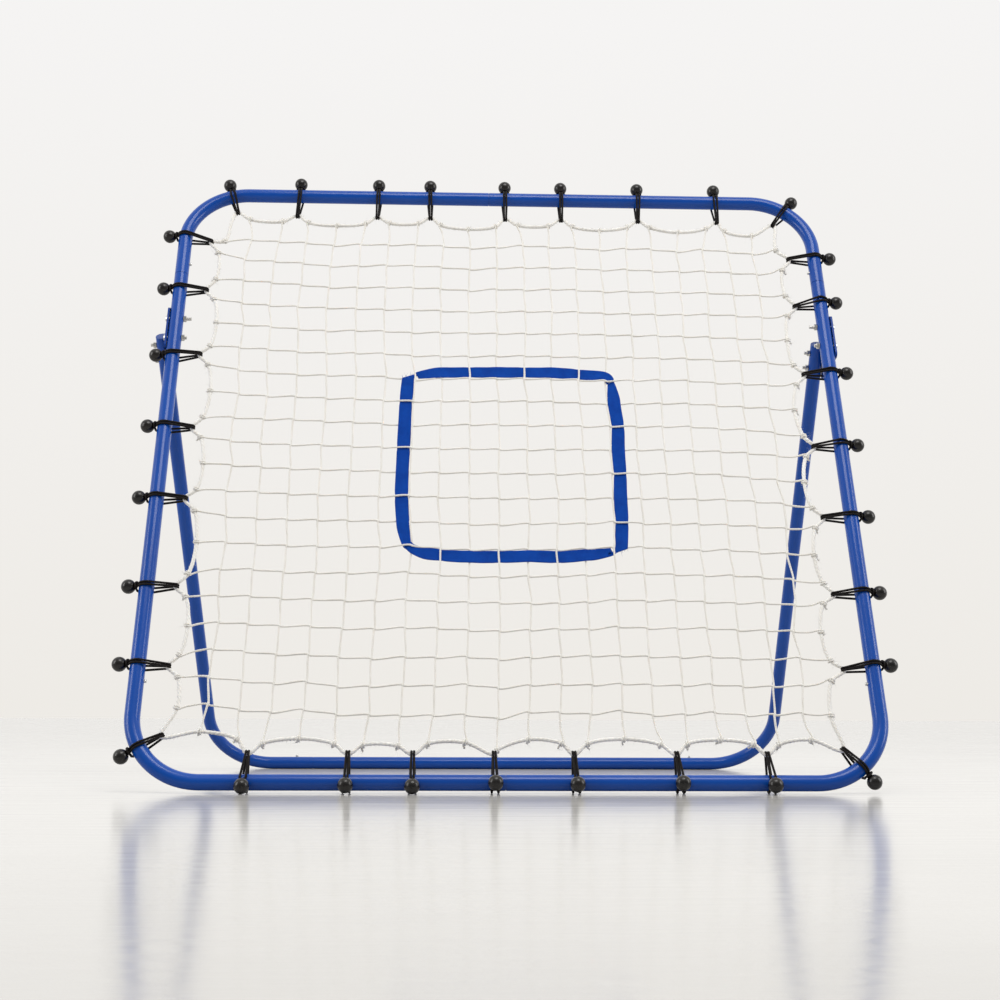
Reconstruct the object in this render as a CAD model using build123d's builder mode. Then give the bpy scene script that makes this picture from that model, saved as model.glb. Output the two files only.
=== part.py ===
from build123d import *
from math import acos, asin, atan2, ceil, cos, degrees, hypot, radians, sin
import os

os.makedirs("parts", exist_ok=True)

# Pitch back rebounder: a leaning square tube frame with a sprung net and a folding rear stand.
# Millimetres and degrees, +Z up, +Y towards the rear stand, +X to the right seen from the front.
# The origin is on the floor under the middle of the front ground bar.

# ---- Driving dimensions ----
# Tubes
tube_radius = 12.5
tube_wall = 1.5
slip_gap = 0.1
spigot_length = 60
spigot_root = 8
joint_gap = 0.8

# Front frame: sizes are between tube axes
frame_width = 1175
frame_height = 1175
frame_lean = 23.77
frame_bend_radius = 112
side_joint_distance = 195
top_joint_x = -23
bottom_joint_x = -8

# Elastic cords and their balls
cord_radius = 1.9
cord_gap = 0.2
side_hook_gap = 0.5
corner_hook_gap = 0.7
ball_radius = 12
ball_distance = 29.5
ball_hole_radius = 5
ball_hole_depth = 8
strand_offset = 2.0
neck_spread = 4.0
side_hook_distance = 46
corner_hook_distance = 37

# Where the cords sit along each side: X on the level bars, height up the frame on the sides
top_places = (-380, -232, -134, 8, 115, 262, 410)
bottom_places = (-408, -252, -151, -24, 101, 262, 404)
left_places = (1072, 949, 800, 649, 505, 336, 197)
right_places = (1041, 937, 778, 624, 479, 333, 201)
bottom_ball_angles = (58, 61, 58, 69, 65, 69, 63)

# Corner cords: angle round each corner bend, from the upright or level direction given below
top_left_angle = 106
top_right_angle = 54
bottom_left_angle = 210
bottom_right_angle = 309

# Net, edge rope and target
rope_radius = 2.4
rope_sag_ratio = 0.13
rope_straight = 4.5
rope_pieces = 8
net_thickness = 2.4
net_inset = 8
target_half_width = 182
target_half_height = 182
target_centre_x = 5
target_centre_height = 585
band_width = 25
band_thickness = 1.2
band_gap = 0.3

# Rear stand
rear_bar_y = 985.3
stand_lean = 36.63
stand_bend_radius = 124
stand_left_x = -583
stand_right_x = 602.6
stand_left_joint_x = -373.7
stand_right_joint_x = 395
leg_length = 980.6
pivot_distance = 964.5
lock_spacing = 29.5
# Gap from bracket plate to leg at the pivot: the legs close in on the plates below it
left_leg_gap = 2.6
right_leg_gap = 1.4

# Bracket plates
plate_thickness = 3.5
plate_gap = 0.2
plate_front_reach = 8
plate_rear_reach = 104
plate_low = 811
plate_high = 906
plate_tail_low = 838
plate_tail_high = 886
plate_corner_radius = 8
fold_angle = 60

# Fasteners
bolt_radius = 3
bolt_hole_radius = 3.2
pivot_hole_radius = 3.05
slot_half_width = 3.3
moving_gap = 0.3
head_radius = 6.5
head_height = 3
nut_width = 10
nut_thickness = 5
frame_bolt_heights = (839, 881)
frame_thread_ends = (4, 9)
leg_thread_end = 5

# Snap buttons
button_radius = 3
button_gap = 0.06
button_height = 4
button_flange_radius = 4.5
button_flange_thickness = 1.2
frame_button_setback = 27
stand_button_setback = 35

# Leg end caps
cap_flange = 2
cap_plug_length = 12

# ---- Values worked out from the driving dimensions ----
tube_bore = tube_radius - tube_wall
spigot_radius = tube_bore - slip_gap
spigot_bore = spigot_radius - tube_wall
wrap_radius = tube_radius + cord_gap + cord_radius
ground_bar_height = wrap_radius + cord_radius
half_width = frame_width / 2
half_height = frame_height / 2
half_wall = tube_wall / 2
plate_inner_x = half_width + tube_radius + plate_gap
plate_outer_x = plate_inner_x + plate_thickness
left_leg_top_x = -(plate_outer_x + left_leg_gap + tube_radius)
right_leg_top_x = plate_inner_x - right_leg_gap - tube_radius

frame_plane = Plane(
    origin=(0, 0, ground_bar_height),
    x_dir=(1, 0, 0),
    z_dir=(0, -cos(radians(frame_lean)), sin(radians(frame_lean))),
)
stand_plane = Plane(
    origin=(0, rear_bar_y, tube_radius),
    x_dir=(1, 0, 0),
    z_dir=(0, -cos(radians(stand_lean)), -sin(radians(stand_lean))),
)


def save(piece, name):
    """Label a finished piece and write its STEP file."""
    piece.part.label = name
    export_step(piece.part, f"parts/{name}.step")


def frame_point(x, height, forward=0.0):
    """World point for a place on the leaning frame: X, distance up it, distance in front of it."""
    return frame_plane.from_local_coords((x, height, forward))


def stand_point(x, along):
    """World point for a place on the rear stand: X and distance up its legs."""
    return stand_plane.from_local_coords((x, along, 0))


def leg_x(along, top_x, foot_x):
    """X of a leg's axis at a distance up the leg, from its foot to the pivot bolt."""
    return foot_x + (top_x - foot_x) * along / pivot_distance


# ---- Tubes ----
def swept_tube(plane, corners, bend_radius):
    """A tube along straight runs joined by bends, added to the part being built."""
    with BuildLine(plane) as axis:
        if len(corners) > 2:
            FilletPolyline(*corners, radius=bend_radius)
        else:
            Line(*corners)
    with BuildSketch(Plane(origin=axis.line @ 0, z_dir=axis.line % 0)) as ring:
        Circle(tube_radius)
        Circle(tube_bore, mode=Mode.SUBTRACT)
    sweep(ring.sketch, path=axis.line)


def spigot(end, outward):
    """The reduced end of a tube that slides into the next one."""
    with BuildSketch(Plane(origin=end, z_dir=outward).offset(-spigot_root)) as root:
        Circle(tube_radius - half_wall)
        Circle(spigot_bore, mode=Mode.SUBTRACT)
    extrude(root.sketch, amount=spigot_root)
    with BuildSketch(Plane(origin=end, z_dir=outward)) as sleeve:
        Circle(spigot_radius)
        Circle(spigot_bore, mode=Mode.SUBTRACT)
    extrude(sleeve.sketch, amount=spigot_length)


def button_hole(centre, outward):
    """The hole in one tube wall for a snap button, centred on the tube's axis point."""
    with BuildSketch(Plane(origin=centre, z_dir=outward)) as hole:
        Circle(button_radius + button_gap)
    extrude(hole.sketch, amount=tube_radius + button_height, mode=Mode.SUBTRACT)


def cross_hole(centre, radius):
    """A bolt hole through both tube walls, along X."""
    with BuildSketch(Plane(origin=centre, z_dir=(1, 0, 0))) as hole:
        Circle(radius)
    extrude(hole.sketch, amount=tube_radius + tube_wall, both=True, mode=Mode.SUBTRACT)


along_frame = frame_plane.y_dir
right = Vector(1, 0, 0)
top_joint_height = frame_height - side_joint_distance
top_button_height = top_joint_height + frame_button_setback
bottom_button_height = side_joint_distance - frame_button_setback

# Top left corner tube: slides into the top right one at the middle joint
with BuildPart() as top_left_corner_tube:
    swept_tube(
        frame_plane,
        [
            (top_joint_x, frame_height),
            (-half_width, frame_height),
            (-half_width, top_joint_height + joint_gap),
        ],
        frame_bend_radius,
    )
    spigot(frame_point(top_joint_x, frame_height), right)
    button_hole(frame_point(-half_width, top_button_height), right)
save(top_left_corner_tube, "top_left_corner_tube")

# Top right corner tube
with BuildPart() as top_right_corner_tube:
    swept_tube(
        frame_plane,
        [
            (top_joint_x + joint_gap, frame_height),
            (half_width, frame_height),
            (half_width, top_joint_height + joint_gap),
        ],
        frame_bend_radius,
    )
    button_hole(frame_point(half_width, top_button_height), -right)
save(top_right_corner_tube, "top_right_corner_tube")

# Bottom left corner tube: slides into the bottom right one at the middle joint
with BuildPart() as bottom_left_corner_tube:
    swept_tube(
        frame_plane,
        [
            (bottom_joint_x, 0),
            (-half_width, 0),
            (-half_width, side_joint_distance - joint_gap),
        ],
        frame_bend_radius,
    )
    spigot(frame_point(bottom_joint_x, 0), right)
    button_hole(frame_point(-half_width, bottom_button_height), right)
save(bottom_left_corner_tube, "bottom_left_corner_tube")

# Bottom right corner tube
with BuildPart() as bottom_right_corner_tube:
    swept_tube(
        frame_plane,
        [
            (bottom_joint_x + joint_gap, 0),
            (half_width, 0),
            (half_width, side_joint_distance - joint_gap),
        ],
        frame_bend_radius,
    )
    button_hole(frame_point(half_width, bottom_button_height), -right)
save(bottom_right_corner_tube, "bottom_right_corner_tube")


def side_tube(name, x, inward):
    """A straight side tube with a spigot at each end and the two bracket bolt holes."""
    with BuildPart() as tube:
        swept_tube(frame_plane, [(x, side_joint_distance), (x, top_joint_height)], frame_bend_radius)
        spigot(frame_point(x, side_joint_distance), -along_frame)
        spigot(frame_point(x, top_joint_height), along_frame)
        button_hole(frame_point(x, bottom_button_height), inward)
        button_hole(frame_point(x, top_button_height), inward)
        for height in frame_bolt_heights:
            cross_hole(frame_point(x, height), bolt_hole_radius)
    save(tube, name)


side_tube("left_side_tube", -half_width, right)
side_tube("right_side_tube", half_width, -right)


# ---- Rear stand tubes ----
def stand_leg(name, top_x, foot_x, joint_x):
    """A rear leg: ground bar end, bend and leg, with its two bolt holes and its button hole."""
    outward = -1 if foot_x < 0 else 1
    foot = (foot_x, 0)
    end = (leg_x(leg_length, top_x, foot_x), leg_length)
    button_x = joint_x + outward * stand_button_setback
    with BuildPart() as leg:
        swept_tube(stand_plane, [(joint_x + outward * joint_gap, 0), foot, end], stand_bend_radius)
        button_hole(stand_point(button_x, 0), Vector(0, 0, 1))
        for along in (pivot_distance, pivot_distance - lock_spacing):
            cross_hole(stand_point(leg_x(along, top_x, foot_x), along), bolt_hole_radius)
    save(leg, name)


stand_leg("rear_left_leg_tube", left_leg_top_x, stand_left_x, stand_left_joint_x)
stand_leg("rear_right_leg_tube", right_leg_top_x, stand_right_x, stand_right_joint_x)

with BuildPart() as rear_ground_tube:
    swept_tube(
        stand_plane, [(stand_left_joint_x, 0), (stand_right_joint_x, 0)], stand_bend_radius
    )
    spigot(stand_point(stand_left_joint_x, 0), -right)
    spigot(stand_point(stand_right_joint_x, 0), right)
    button_hole(stand_point(stand_left_joint_x - stand_button_setback, 0), Vector(0, 0, 1))
    button_hole(stand_point(stand_right_joint_x + stand_button_setback, 0), Vector(0, 0, 1))
save(rear_ground_tube, "rear_ground_tube")


def leg_cap(name, top_x, foot_x):
    """The plastic plug in the open top of a leg."""
    end = stand_point(leg_x(leg_length, top_x, foot_x), leg_length)
    leg_axis = end - stand_point(foot_x, 0)
    with BuildPart() as cap:
        with BuildSketch(Plane(origin=end, z_dir=leg_axis)):
            Circle(tube_radius)
        extrude(amount=cap_flange)
        with BuildSketch(Plane(origin=end, z_dir=leg_axis).offset(-cap_plug_length)):
            Circle(tube_bore - slip_gap)
        extrude(amount=cap_plug_length)
        top_face = cap.faces().filter_by(Plane(origin=end, z_dir=leg_axis)).sort_by(Axis.Z)[-1]
        fillet(top_face.edges(), cap_flange / 2)
    save(cap, name)


leg_cap("left_leg_cap", left_leg_top_x, stand_left_x)
leg_cap("right_leg_cap", right_leg_top_x, stand_right_x)

# ---- Bracket plates ----
pivot_point = stand_point(0, pivot_distance)
pivot_local = frame_plane.to_local_coords(pivot_point)
lock_local = frame_plane.to_local_coords(stand_point(0, pivot_distance - lock_spacing))


def plate_coords(height, forward):
    """A place on a bracket plate: distance up the frame, distance in front of it."""
    return (height, forward)


def slot_centre(angle):
    """Centre line of the lock bolt's curved slot, turned from the open position."""
    start = atan2(lock_local.Z - pivot_local.Z, lock_local.Y - pivot_local.Y)
    turned = start - radians(angle)
    return plate_coords(
        pivot_local.Y + lock_spacing * cos(turned), pivot_local.Z + lock_spacing * sin(turned)
    )


def bracket_plate(name, x):
    """A flat plate with two frame bolt holes, the pivot hole and the curved lock slot."""
    plate_plane = Plane(origin=frame_point(x, 0), x_dir=along_frame, z_dir=(1, 0, 0))
    forward = 1 if plate_plane.y_dir.dot(frame_plane.z_dir) > 0 else -1
    outline = [
        (plate_high, plate_front_reach),
        (plate_low, plate_front_reach),
        (plate_tail_low, -plate_rear_reach),
        (plate_tail_high, -plate_rear_reach),
    ]
    with BuildPart() as plate:
        with BuildSketch(plate_plane) as shape:
            with BuildLine():
                Polyline(*[(height, forward * reach) for height, reach in outline], close=True)
            make_face()
            fillet(shape.vertices(), plate_corner_radius)
            with Locations(*[(height, 0) for height in frame_bolt_heights]):
                Circle(bolt_hole_radius, mode=Mode.SUBTRACT)
            with Locations((pivot_local.Y, forward * pivot_local.Z)):
                Circle(pivot_hole_radius, mode=Mode.SUBTRACT)
            slot = [slot_centre(angle) for angle in (0, fold_angle / 2, fold_angle)]
            with BuildLine(mode=Mode.PRIVATE) as slot_line:
                ThreePointArc(*[(height, forward * reach) for height, reach in slot])
            SlotArc(slot_line.edge(), height=2 * slot_half_width, mode=Mode.SUBTRACT)
        extrude(amount=plate_thickness)
    save(plate, name)


bracket_plate("left_bracket_plate", -plate_outer_x)
bracket_plate("right_bracket_plate", plate_inner_x)


# ---- Bolts and nuts ----
def bolt(seat, direction, length):
    """A domed bolt: the head's underside is at the seat and the shank runs along direction."""
    with BuildSketch(Plane(origin=seat, z_dir=direction)) as shank:
        Circle(bolt_radius)
    extrude(shank.sketch, amount=length)
    with BuildSketch(Plane(origin=seat, z_dir=-direction)) as head:
        Circle(head_radius)
    extrude(head.sketch, amount=head_height, taper=30)


def nut(seat, direction):
    """A hexagon nut resting on a seat and standing out along direction."""
    with BuildSketch(Plane(origin=seat, z_dir=direction)) as hexagon:
        RegularPolygon(nut_width / 2, 6, major_radius=False)
        Circle(bolt_radius + button_gap, mode=Mode.SUBTRACT)
    extrude(hexagon.sketch, amount=nut_thickness)


sides = (-1, 1)

with BuildPart() as frame_bolts:
    for side in sides:
        for height, thread_end in zip(frame_bolt_heights, frame_thread_ends):
            seat = frame_point(side * (plate_outer_x + slip_gap), height)
            grip = plate_thickness + plate_gap + 2 * tube_radius + slip_gap
            bolt(seat, -side * right, grip + nut_thickness + thread_end)
save(frame_bolts, "frame_bolts")

with BuildPart() as frame_nuts:
    for side in sides:
        for height in frame_bolt_heights:
            nut(frame_point(side * (half_width - tube_radius - slip_gap), height), -side * right)
save(frame_nuts, "frame_nuts")


def leg_bolts(name, along):
    """One bolt per side through bracket plate and leg, with the head against the plate."""
    with BuildPart() as bolts:
        for top_x, foot_x, head_x in (
            (left_leg_top_x, stand_left_x, -plate_inner_x + moving_gap),
            (right_leg_top_x, stand_right_x, plate_outer_x + moving_gap),
        ):
            seat = Vector(head_x, stand_point(0, along).Y, stand_point(0, along).Z)
            grip = abs(leg_x(along, top_x, foot_x) - head_x) + tube_radius + moving_gap
            bolt(seat, -right, grip + nut_thickness + leg_thread_end)
    save(bolts, name)


leg_bolts("pivot_bolts", pivot_distance)
leg_bolts("lock_bolts", pivot_distance - lock_spacing)

with BuildPart() as leg_nuts:
    for along in (pivot_distance, pivot_distance - lock_spacing):
        for top_x, foot_x in ((left_leg_top_x, stand_left_x), (right_leg_top_x, stand_right_x)):
            nut_x = leg_x(along, top_x, foot_x) - tube_radius - moving_gap
            nut(Vector(nut_x, stand_point(0, along).Y, stand_point(0, along).Z), -right)
save(leg_nuts, "leg_nuts")


# ---- Snap buttons ----
def snap_button(name, centre, outward):
    """A sprung button: a flange inside the spigot and a pin out through both tube walls."""
    flange_top = spigot_bore - button_flange_thickness - moving_gap
    with BuildPart() as button:
        with BuildSketch(Plane(origin=centre, z_dir=outward).offset(flange_top - button_flange_thickness)):
            Circle(button_flange_radius)
        extrude(amount=button_flange_thickness)
        with BuildSketch(Plane(origin=centre, z_dir=outward).offset(flange_top)):
            Circle(button_radius)
        extrude(amount=tube_radius + button_height - flange_top)
        tip = button.faces().sort_by(Axis(centre, outward))[-1]
        fillet(tip.edges(), button_radius / 2)
    save(button, name)


snap_button("top_left_button", frame_point(-half_width, top_button_height), right)
snap_button("top_right_button", frame_point(half_width, top_button_height), -right)
snap_button("bottom_left_button", frame_point(-half_width, bottom_button_height), right)
snap_button("bottom_right_button", frame_point(half_width, bottom_button_height), -right)
snap_button(
    "rear_left_button",
    stand_point(stand_left_joint_x - stand_button_setback, 0),
    Vector(0, 0, 1),
)
snap_button(
    "rear_right_button",
    stand_point(stand_right_joint_x + stand_button_setback, 0),
    Vector(0, 0, 1),
)


# ---- Elastic cords and balls ----
def cord_plane(axis_point, outward):
    """Cross-section plane of a tube: X away from the net, Y to the front, Z along the tube."""
    return Plane(origin=axis_point, x_dir=outward, z_dir=outward.cross(frame_plane.z_dir))


def bend_place(centre_x, centre_height, angle):
    """A cord's plane on a corner bend, at an angle round the bend's centre."""
    direction = Vector(cos(radians(angle)), sin(radians(angle)))
    x = centre_x + frame_bend_radius * direction.X
    height = centre_height + frame_bend_radius * direction.Y
    outward = frame_plane.x_dir * direction.X + along_frame * direction.Y
    return cord_plane(frame_point(x, height), outward)


bend_x = half_width - frame_bend_radius
bend_top = frame_height - frame_bend_radius
top_planes = [cord_plane(frame_point(x, frame_height), along_frame) for x in top_places]
bottom_planes = [cord_plane(frame_point(x, 0), -along_frame) for x in bottom_places]
left_planes = [cord_plane(frame_point(-half_width, place), -right) for place in left_places]
right_planes = [cord_plane(frame_point(half_width, place), right) for place in right_places]
corner_planes = [
    bend_place(-bend_x, bend_top, top_left_angle),
    bend_place(bend_x, bend_top, top_right_angle),
    bend_place(-bend_x, frame_bend_radius, bottom_left_angle),
    bend_place(bend_x, frame_bend_radius, bottom_right_angle),
]


def polar(radius, angle, offset=0.0):
    """A point round a tube's axis, with an offset along the tube."""
    return Vector(radius * cos(radians(angle)), radius * sin(radians(angle)), offset)


def arc_angles(start, end, step=30):
    """Evenly spaced angles from start to end, no further apart than step."""
    count = max(1, ceil(abs(end - start) / step))
    return [start + (end - start) * index / count for index in range(count + 1)]


def cord_line(plane, ball_angle, hook_distance, hook_gap):
    """The run of one elastic cord: from its ball, round the rope and over the ball's neck."""
    hook = Vector(-hook_distance, 0)
    hook_radius = rope_radius + hook_gap + cord_radius
    lean = degrees(asin((wrap_radius - hook_radius) / hook_distance))
    back_angle = -(90 + lean)
    front_angle = max(90 + lean, ball_angle + 30)
    neck_start = ball_angle - 13
    front = [
        polar(24, ball_angle, strand_offset),
        polar(20, ball_angle, strand_offset),
        polar(16.9, ball_angle + 4.5, strand_offset),
        polar(15.3, ball_angle + 15, strand_offset),
    ]
    front += [
        polar(wrap_radius, angle, strand_offset)
        for angle in arc_angles(ball_angle + 28, front_angle)
    ]
    leave = front[-1]
    reach = hypot(leave.X - hook.X, leave.Y)
    front_turn = degrees(atan2(leave.Y, leave.X - hook.X) + acos(hook_radius / reach))
    bend = [
        hook + polar(hook_radius, front_turn, strand_offset),
        hook + Vector(-hook_radius, 0, strand_offset),
        hook + polar(hook_radius, back_angle, strand_offset),
    ]
    wraps = arc_angles(back_angle, neck_start)
    spread = [strand_offset + neck_spread * index / (len(wraps) - 1) for index in range(len(wraps))]
    back = [polar(wrap_radius, angle, offset) for angle, offset in zip(wraps[:-1], spread)]
    back += [
        polar(15.4, neck_start, spread[-1]),
        polar(15.0, ball_angle, 6.6),
        polar(16.0, ball_angle + 13, 6.2),
        polar(18.2, ball_angle + 22.5, 3.6),
    ]
    neck_top = polar(19.2, ball_angle + 25.5)

    def placed(points, mirror):
        """World points of one strand, or of its twin on the other side of the ball."""
        return [plane.from_local_coords((p.X, p.Y, mirror * p.Z)) for p in points]

    for mirror in (1, -1):
        strand = placed(front, mirror)
        turn = placed(bend, mirror)
        start = placed(back[:1], mirror)[0]
        ends = [(strand[1] - strand[0]).normalized(), (turn[0] - strand[-1]).normalized()]
        Spline(*strand, tangents=ends, tangent_scalars=(1, 1))
        Line(strand[-1], turn[0])
        ThreePointArc(*turn)
        Line(turn[-1], start)
    near = placed(back, 1)
    far = placed(reversed(back), -1)
    top = placed([neck_top], 1)
    ends = [
        (near[0] - placed(bend, 1)[-1]).normalized(),
        (placed(bend, -1)[-1] - far[-1]).normalized(),
    ]
    Spline(*near, *top, *far, tangents=ends, tangent_scalars=(1, 1))


def cords(name, planes, ball_angles, hook_distance, hook_gap):
    """A side's elastic cords, each a separate loop."""
    with BuildPart() as group:
        for plane, ball_angle in zip(planes, ball_angles):
            with BuildLine() as loop:
                cord_line(plane, ball_angle, hook_distance, hook_gap)
            path = loop.wire()
            with BuildSketch(Plane(origin=path @ 0, z_dir=path % 0)):
                Circle(cord_radius)
            sweep(path=path)
    save(group, name)


def balls(name, planes, ball_angles):
    """A side's balls, each with the hole that takes its cord's two ends."""
    with BuildPart() as group:
        for plane, ball_angle in zip(planes, ball_angles):
            toward = polar(1, ball_angle)
            centre = plane.from_local_coords(toward * ball_distance)
            outward = centre - plane.origin
            mouth = Plane(origin=plane.origin, z_dir=outward)
            with Locations(mouth.offset(ball_distance)):
                Sphere(ball_radius)
            with BuildSketch(mouth.offset(ball_distance - ball_radius - ball_hole_radius)):
                Circle(ball_hole_radius)
            extrude(amount=ball_hole_radius + ball_hole_depth, mode=Mode.SUBTRACT)
    save(group, name)


level = [0] * len(top_places)
for side_name, planes, angles, hook_distance, hook_gap in (
    ("top", top_planes, level, side_hook_distance, side_hook_gap),
    ("bottom", bottom_planes, bottom_ball_angles, side_hook_distance, side_hook_gap),
    ("left", left_planes, level, side_hook_distance, side_hook_gap),
    ("right", right_planes, level, side_hook_distance, side_hook_gap),
    ("corner", corner_planes, level, corner_hook_distance, corner_hook_gap),
):
    cords(f"{side_name}_bungee_cords", planes, angles, hook_distance, hook_gap)
    balls(f"{side_name}_bungee_balls", planes, angles)


# ---- Edge rope and net ----
def hook_places():
    """The rope's hook points in order round the net, each with its direction towards the middle."""
    top_left, top_right, bottom_left, bottom_right = corner_planes
    order = [top_left, *top_planes, top_right, *right_planes, bottom_right]
    order += [*reversed(bottom_planes), bottom_left, *reversed(left_planes)]
    places = []
    for plane in order:
        distance = corner_hook_distance if plane in corner_planes else side_hook_distance
        point = plane.from_local_coords((-distance, 0, 0))
        places.append((frame_plane.to_local_coords(point), plane.x_dir * -1))
    return places


def edge_points(inset):
    """Points along the scalloped net edge, straight through each hook, moved inwards by inset."""
    places = hook_places()
    middle = Vector(0, half_height)
    points = []
    for index, (here, inward) in enumerate(places):
        following = places[(index + 1) % len(places)][0]
        toward = Vector(inward.dot(frame_plane.x_dir), inward.dot(along_frame))
        hooked = here + toward * inset
        along_tube = Vector(-toward.Y, toward.X) * rope_straight
        run = following - here
        between = (here + following) * 0.5
        across = Vector(run.Y, -run.X).normalized()
        if across.dot(middle - between) < 0:
            across = across * -1
        slack = between + across * (run.length * rope_sag_ratio + inset)
        for point in (hooked + along_tube * -1, hooked, hooked + along_tube, slack):
            points.append((point.X, point.Y))
    return points


with BuildPart() as edge_rope:
    with BuildLine(frame_plane, mode=Mode.PRIVATE) as rope_line:
        Spline(*edge_points(0), periodic=True)
    ring = rope_line.edge()
    shares = [index / rope_pieces for index in range(rope_pieces + 1)]
    rope_path = Wire([ring.trim(start, end) for start, end in zip(shares, shares[1:])])
    with BuildSketch(Plane(origin=rope_path @ 0, z_dir=rope_path % 0)):
        Circle(rope_radius)
    sweep(path=rope_path, transition=Transition.TRANSFORMED)
save(edge_rope, "edge_rope")

with BuildPart() as net_panel:
    with BuildSketch(frame_plane.offset(-net_thickness / 2)):
        with BuildLine():
            Spline(*edge_points(net_inset), periodic=True)
        make_face()
    extrude(amount=net_thickness)
save(net_panel, "net_panel")

# ---- Target: four bands crossing at the corners, the upright ones on top ----
level_band_front = net_thickness / 2 + band_gap
upright_band_front = level_band_front + band_thickness + band_gap


def target_band(name, centre, width, height, front):
    """One straight band of the target, lying in front of the net."""
    with BuildPart() as band:
        with BuildSketch(frame_plane.offset(front)):
            with Locations(centre):
                Rectangle(width, height)
        extrude(amount=band_thickness)
    save(band, name)


band_length = 2 * target_half_width + band_width
for band_name, offset in (("top_target_band", target_half_height), ("bottom_target_band", -target_half_height)):
    place = (target_centre_x, target_centre_height + offset)
    target_band(band_name, place, band_length, band_width, level_band_front)
for band_name, offset in (("left_target_band", -target_half_width), ("right_target_band", target_half_width)):
    place = (target_centre_x + offset, target_centre_height)
    target_band(band_name, place, band_width, band_length, upright_band_front)
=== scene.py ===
from math import acos, asin, atan2, ceil, cos, degrees, hypot, pi, radians, sin
import bpy
import numpy as np
from mathutils import Matrix, Vector


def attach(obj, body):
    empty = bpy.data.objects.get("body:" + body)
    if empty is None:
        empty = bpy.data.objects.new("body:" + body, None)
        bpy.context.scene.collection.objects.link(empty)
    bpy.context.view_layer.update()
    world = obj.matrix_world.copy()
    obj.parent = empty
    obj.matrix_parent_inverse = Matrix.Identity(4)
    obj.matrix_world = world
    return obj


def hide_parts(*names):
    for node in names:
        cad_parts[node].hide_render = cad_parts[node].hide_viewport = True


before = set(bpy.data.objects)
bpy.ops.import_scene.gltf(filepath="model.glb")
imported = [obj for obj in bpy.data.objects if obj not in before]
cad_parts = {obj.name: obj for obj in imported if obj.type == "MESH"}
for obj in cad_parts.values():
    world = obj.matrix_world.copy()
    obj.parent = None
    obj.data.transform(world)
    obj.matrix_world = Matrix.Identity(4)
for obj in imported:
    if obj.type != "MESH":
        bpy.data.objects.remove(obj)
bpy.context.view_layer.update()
chance = np.random.default_rng(7)

# Pitch back rebounder: the net, its rope and elastic cords, the target and all the finishes.
# Metres, +Z up, +Y towards the rear stand, +X to the right seen from the front.

# ---- Driving dimensions ----
# Front frame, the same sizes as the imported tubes
LEAN = radians(23.77)
FRAME_WIDTH = 1.175
FRAME_HEIGHT = 1.175
GROUND_BAR_HEIGHT = 0.0165
BEND_RADIUS = 0.112

# Elastic cords and where they sit along each side
CORD_RADIUS = 0.0019
BRAID_STRANDS = 4
BRAID_PER_METRE = 330
WRAP_RADIUS = 0.0146
SIDE_HOOK_RADIUS = 0.0048
CORNER_HOOK_RADIUS = 0.0050
SIDE_HOOK_DISTANCE = 0.046
CORNER_HOOK_DISTANCE = 0.037
TOP_PLACES = (-0.380, -0.232, -0.134, 0.008, 0.115, 0.262, 0.410)
BOTTOM_PLACES = (-0.408, -0.252, -0.151, -0.024, 0.101, 0.262, 0.404)
LEFT_PLACES = (1.072, 0.949, 0.800, 0.649, 0.505, 0.336, 0.197)
RIGHT_PLACES = (1.041, 0.937, 0.778, 0.624, 0.479, 0.333, 0.201)
BOTTOM_BALL_ANGLES = (58, 61, 58, 69, 65, 69, 63)
TOP_LEFT_ANGLE = 106
TOP_RIGHT_ANGLE = 54
BOTTOM_LEFT_ANGLE = 210
BOTTOM_RIGHT_ANGLE = 309

# How far each rope hook lies along its side from the ball, as the cords pull askew
TOP_SHIFTS = (-0.003, -0.001, 0.001, 0.000, -0.001, -0.002, 0.001)
BOTTOM_SHIFTS = (0.003, 0.001, 0.000, -0.001, -0.002, -0.003, -0.003)
LEFT_SHIFTS = (-0.011, -0.002, 0.003, -0.002, -0.001, 0.001, -0.003)
RIGHT_SHIFTS = (-0.003, -0.010, -0.004, -0.004, -0.002, -0.004, -0.008)

# Net: square cells, counted from the top left corner
CELLS = 21
TOP_LEFT_HOOK_CELL = 0.5
TOP_HOOK_CELLS = (2.5, 5.5, 7.5, 10.5, 12.5, 15.5, 18.5)
SIDE_HOOK_CELLS = (1.5, 3.5, 6.5, 9.5, 12.5, 15.5, 18.5)
BOTTOM_HOOK_CELLS = (2.5, 5.5, 7.5, 9.85, 12.5, 15.5, 18.5)
ROPE_PER_CELL = 0.0524
ROPE_SLACK = 1.08
CORD_PER_CELL = 0.0450
CORD_DRIFT = 0.035
TARGET_CELL = 0.0480
TARGET_STIFFNESS = 18
UNEVENNESS = 0.035
ROPE_STIFFNESS = 30
RELAX_STEPS = 2500
RELAX_STEP = 0.12
RELAX_DAMPING = 0.992
NET_CORD_RADIUS = 0.0016
ROPE_RADIUS = 0.0031
NET_SAG = 0.005

# Target: four bands outside cell lines 7 and 14, woven through the net
TARGET_FIRST = 7
TARGET_LAST = 14
BAND_WIDTH = 0.0228
BAND_THICKNESS = 0.0011
BAND_OFFSET = 0.0135
BAND_CORNER_OFFSET = 0.0095
BAND_LIFT = 0.0006
CORD_OVER = 0.0022
CORD_UNDER = -0.0018

FRAME_X = np.array([1.0, 0.0, 0.0])
FRAME_UP = np.array([0.0, sin(LEAN), cos(LEAN)])
FRAME_FORWARD = np.array([0.0, -cos(LEAN), sin(LEAN)])
FRAME_ORIGIN = np.array([0.0, 0.0, GROUND_BAR_HEIGHT])
HALF_WIDTH = FRAME_WIDTH / 2


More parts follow.
